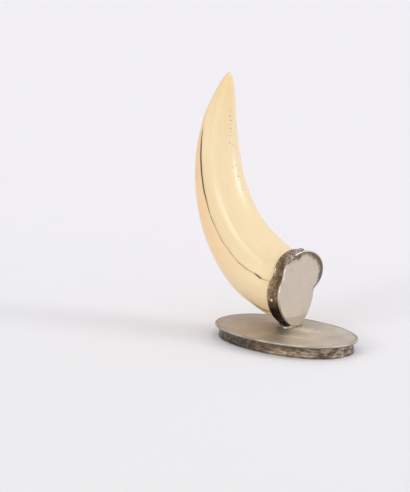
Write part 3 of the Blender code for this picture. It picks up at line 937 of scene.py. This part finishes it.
def base_sheet_finish():
    f, colour, roughness, normal = metal_finish(
        "base_sheet_dull",
        (0.50, 0.44, 0.35), (0.28, 0.235, 0.17), (0.16, 0.12, 0.08),
        patch_size=6.0, share=0.5, rough=(0.3, 0.5),
    )
    return f.set(colour=colour, roughness=roughness, metallic=1.0, normal=normal)


def solder_finish(name, pale, dark, stained=None):
    """Uneven soft solder, bright only where it is fresh if a stain is given."""
    f = Finish(name)
    small = f.noise(f.place, 0.9, 4.0, 0.65, 0.3)
    tiny = f.noise(f.place, 0.3, 3.0, 0.6)
    colour = f.blend(f.levels(small, 0.38, 0.62), pale, dark)
    if stained:
        colour = f.blend(f.mask("fresh"), f.blend(f.levels(small, 0.3, 0.7), *stained), colour)
    normal = f.bump(f.sum(small, f.times(tiny, 0.4)), 0.09, 0.8)
    roughness = f.levels(tiny, 0.3, 0.7, 0.29, 0.5)
    return f.set(colour=colour, roughness=roughness, metallic=1.0, normal=normal)


def pin_finish():
    f = Finish("pin_polished")
    small = f.noise(f.place, 0.6, 3.0, 0.6)
    colour = f.blend(f.levels(small, 0.4, 0.7), (0.80, 0.76, 0.69), (0.55, 0.50, 0.43))
    colour = f.blend(f.mask("groove"), colour, (0.03, 0.022, 0.015))
    return f.set(colour=colour, roughness=0.2, metallic=1.0, normal=f.bump(small, 0.03, 0.4))


def floor_finish():
    f = Finish("pale_floor")
    soft = f.noise(f.place, 90.0, 2.0, 0.5)
    colour = f.blend(soft, (0.890, 0.882, 0.902), (0.905, 0.897, 0.916))
    # painted shade: the floor grows a little darker toward the camera's side
    ahead = f.levels(f.position("Y"), 300.0, -250.0)
    colour = f.blend(ahead, colour, (0.862, 0.862, 0.857))
    return f.set(colour=colour, roughness=0.9, specular=0.0)


def dress(piece, material):
    piece.data.materials.clear()
    piece.data.materials.append(material)


# ---------------------------------------------------------------------- build
dress(settle(make_tusk(), "ivory", "tusk"), ivory_finish())
dress(settle(make_end_plate(), "pale_plate_metal", "end_plate"), end_plate_finish())
dress(settle(make_collar_band(), "aged_band_metal", "collar_band"), collar_finish())
seam = settle(make_seam_solder(), "aged_solder", "seam_solder")
dress(seam, solder_finish("solder_aged", (0.70, 0.64, 0.54), (0.075, 0.058, 0.043)))
dress(settle(make_pin(), "pin_metal", "collar_pin"), pin_finish())
bare_solder = solder_finish(
    "solder_bare", (0.66, 0.64, 0.59), (0.30, 0.27, 0.215),
    stained=((0.46, 0.39, 0.285), (0.33, 0.265, 0.185)),
)
near_fillet = make_foot_solder("foot_solder_near_fillet", -1.0, 55)
dress(settle(near_fillet, "solder", "foot_solder_near"), bare_solder)
far_fillet = make_foot_solder("foot_solder_far_fillet", 1.0, 57)
dress(settle(far_fillet, "solder", "foot_solder_far"), bare_solder)
dress(settle(make_base_plate(), "base_top_metal", "base_plate"), base_top_finish())
dress(settle(make_base_band(), "worn_skirt_metal", "base_band"), base_band_finish())
dress(settle(make_base_floor(), "base_floor_metal", "base_floor"), base_sheet_finish())


# --------------------------------------------------------------- stage, light
# How bright the studio is at the horizon and overhead.
WORLD_LOW = 0.725
WORLD_HIGH = 0.91
# Each softbox's turn, rise, half width, half height, softness and strength.
PANELS = (
    (-101.0, 21.5, 7.5, 7.0, 3.0, 6.9),
    (34.0, 26.5, 9.0, 10.0, 3.5, 6.9),
    (-85.0, 18.0, 50.0, 10.0, 8.0, 0.55),
)


def make_floor():
    """A wide pale disc under everything."""
    turn = full_turn(96)
    radius = np.array([1.0, 300.0, 3000.0, 60000.0])[:, None]
    rings = stacked(np.cos(turn) * radius, np.sin(turn) * radius, 0.0)
    floor = grid_object("floor", rings, ends="first")
    if floor.data.polygons[0].normal.z < 0.0:
        floor.data.flip_normals()
    dress(floor, floor_finish())


class Studio:
    """The world's light, built up from directions."""

    def __init__(self):
        world = bpy.data.worlds.new("studio")
        bpy.context.scene.world = world
        world.use_nodes = True
        self.tree = world.node_tree
        self.way = self.tree.nodes.new("ShaderNodeTexCoord").outputs["Generated"]

    def toward(self, direction):
        """How far a light ray's direction points along the given one."""
        node = self.tree.nodes.new("ShaderNodeVectorMath")
        node.operation = "DOT_PRODUCT"
        self.tree.links.new(self.way, node.inputs[0])
        node.inputs[1].default_value = tuple(direction)
        return node.outputs["Value"]

    def math(self, operation, *values):
        node = self.tree.nodes.new("ShaderNodeMath")
        node.operation = operation
        for socket, value in zip(node.inputs, values):
            self.tree.links.new(value, socket)
        return node.outputs[0]

    def levels(self, value, low, high, out_low, out_high):
        node = self.tree.nodes.new("ShaderNodeMapRange")
        node.interpolation_type = "SMOOTHSTEP"
        self.tree.links.new(value, node.inputs["Value"])
        node.inputs["From Min"].default_value = low
        node.inputs["From Max"].default_value = high
        node.inputs["To Min"].default_value = out_low
        node.inputs["To Max"].default_value = out_high
        return node.outputs["Result"]

    def panel(self, turn, rise, half_wide, half_tall, soft, strength):
        """A soft rectangle of light at a compass turn and height, in degrees."""
        turn, rise = math.radians(turn), math.radians(rise)
        flat = math.cos(rise)
        middle = Vector((flat * math.cos(turn), flat * math.sin(turn), math.sin(rise)))
        across = Vector((-math.sin(turn), math.cos(turn), 0.0))
        upward = middle.cross(across)
        share = self.levels(self.toward(middle), 0.0, 0.05, 0.0, strength)
        for axis, half in ((across, half_wide), (upward, half_tall)):
            low = math.sin(math.radians(max(half - soft, 0.0)))
            high = math.sin(math.radians(half + soft))
            off = self.math("ABSOLUTE", self.toward(axis))
            share = self.math("MULTIPLY", share, self.levels(off, low, high, 1.0, 0.0))
        return share


def make_world():
    """A pale studio all round with its softboxes, darker behind the tusk's back."""
    studio = Studio()
    rise = studio.toward((0.0, 0.0, 1.0))
    light = studio.levels(rise, 0.0, 0.9, WORLD_LOW, WORLD_HIGH)
    behind = studio.toward((-0.94, -0.30, 0.10))
    light = studio.math("MULTIPLY", light, studio.levels(behind, 0.45, 0.97, 1.0, 0.50))
    for panel in PANELS:
        light = studio.math("ADD", light, studio.panel(*panel))
    ground = studio.tree.nodes["Background"]
    ground.inputs["Color"].default_value = (0.985, 0.975, 1.0, 1.0)
    studio.tree.links.new(light, ground.inputs["Strength"])


def make_camera():
    """The camera as fitted to the photo: a long lens, a little above."""
    camera = bpy.data.cameras.new("camera")
    camera.sensor_width = 36.0
    camera.lens = 36.0 * 1300.0 / 492.0
    camera.clip_start = 0.05
    camera.clip_end = 200.0
    holder = bpy.data.objects.new("camera", camera)
    ahead = Vector((-0.65393, 0.73210, -0.19081)).normalized()
    above = Vector((-0.12711, 0.14231, 0.98163))
    right = ahead.cross(above).normalized()
    above = right.cross(ahead)
    turn = Matrix((right, above, -ahead)).transposed()
    holder.matrix_world = Matrix.Translation((0.480507, -0.611930, 0.211556)) @ turn.to_4x4()
    bpy.context.scene.collection.objects.link(holder)
    bpy.context.scene.camera = holder


make_floor()
make_world()
make_camera()
bpy.context.scene.view_settings.view_transform = "Standard"
